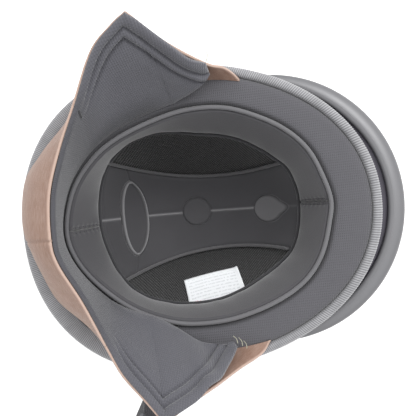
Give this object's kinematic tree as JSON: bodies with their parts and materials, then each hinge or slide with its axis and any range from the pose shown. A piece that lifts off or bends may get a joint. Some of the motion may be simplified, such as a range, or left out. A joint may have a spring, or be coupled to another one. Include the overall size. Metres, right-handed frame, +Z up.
{
  "type": "riding helmet",
  "caption": "Open riding helmet with a short peak, padded lining, leather neck curtain with hinged ear flaps, and a chin strap that fastens with D rings.",
  "frame": {"origin": "middle of the flattened crown, which the upturned helmet rests on", "axes": "+Z up out of the head opening, +X to the peak, +Y to the wearer's right"},
  "size_m": [0.3015, 0.3081, 0.2257],
  "materials": {
    "shell": "satin, fine grained",
    "rim_tape": "ribbed grosgrain",
    "peak": "smooth satin",
    "peak_edge": "smooth, slightly worn",
    "foam": "moulded expanded foam beads",
    "facing": "fine knit",
    "headband": "brushed padded cloth",
    "piping": "piped edge",
    "crown_pad": "brushed padded cloth",
    "badge": "heat embossed",
    "mesh": "open mesh",
    "label": "woven satin label",
    "leather": "aged full grain",
    "lining": "quilted ribbed mesh",
    "webbing": "flat woven webbing",
    "steel": "plated wire"
  },
  "bodies": {
    "helmet": {"outer_shell": "shell", "strap_rivets": "steel", "strap_anchor_right": "webbing", "strap_anchor_left": "webbing", "rim_tape": "rim_tape", "peak": "peak", "peak_edge_roll": "peak_edge", "foam_liner": "foam", "rim_facing": "facing", "headband_right": "headband", "headband_left": "headband", "headband_piping": "piping", "crown_pad": "crown_pad", "mesh_lining_left": "mesh", "mesh_lining_right": "mesh", "crown_pad_piping": "piping", "crown_pad_badge": "badge", "size_label": "label", "neck_curtain_leather": "leather", "neck_curtain_padding": "lining"},
    "ear_flap_right": {"ear_flap_leather_right": "leather", "ear_flap_padding_right": "lining", "flap_webbing_right": "webbing"},
    "ear_flap_left": {"ear_flap_leather_left": "leather", "ear_flap_padding_left": "lining", "flap_webbing_left": "webbing"},
    "strap_right": {"chin_strap_right": "webbing"},
    "strap_left": {"chin_strap_left": "webbing"},
    "ring_inner": {"d_ring_inner": "steel"},
    "ring_outer": {"d_ring_outer": "steel"}
  },
  "joints": [
    {"name": "ear_flap_right_fold", "type": "hinge", "parent": "helmet", "child": "ear_flap_right", "pos_m": [-0.004, 0.097, 0.153], "axis": [0.9938, 0.1115, 0], "range_deg": [-8, 42]},
    {"name": "ear_flap_left_fold", "type": "hinge", "parent": "helmet", "child": "ear_flap_left", "pos_m": [-0.004, -0.097, 0.153], "axis": [-0.9938, 0.1115, 0], "range_deg": [-8, 42]},
    {"name": "chin_strap_right_swing", "type": "hinge", "parent": "ear_flap_right", "child": "strap_right", "pos_m": [-0.02176, 0.12977, 0.20003], "axis": [1, 0, 0], "range_deg": [0, 70]},
    {"name": "chin_strap_left_swing", "type": "hinge", "parent": "ear_flap_left", "child": "strap_left", "pos_m": [-0.02506, -0.13353, 0.20003], "axis": [-0.7513, 0.66, 0], "range_deg": [-10, 50]},
    {"name": "inner_ring_swing", "type": "hinge", "parent": "strap_right", "child": "ring_inner", "pos_m": [-0.02176, 0.12857, 0.14053], "axis": [1, 0, 0], "range_deg": [-15, 2]},
    {"name": "outer_ring_swing", "type": "hinge", "parent": "strap_right", "child": "ring_outer", "pos_m": [-0.02176, 0.13297, 0.14053], "axis": [1, 0, 0], "range_deg": [-2, 35]}
  ]
}
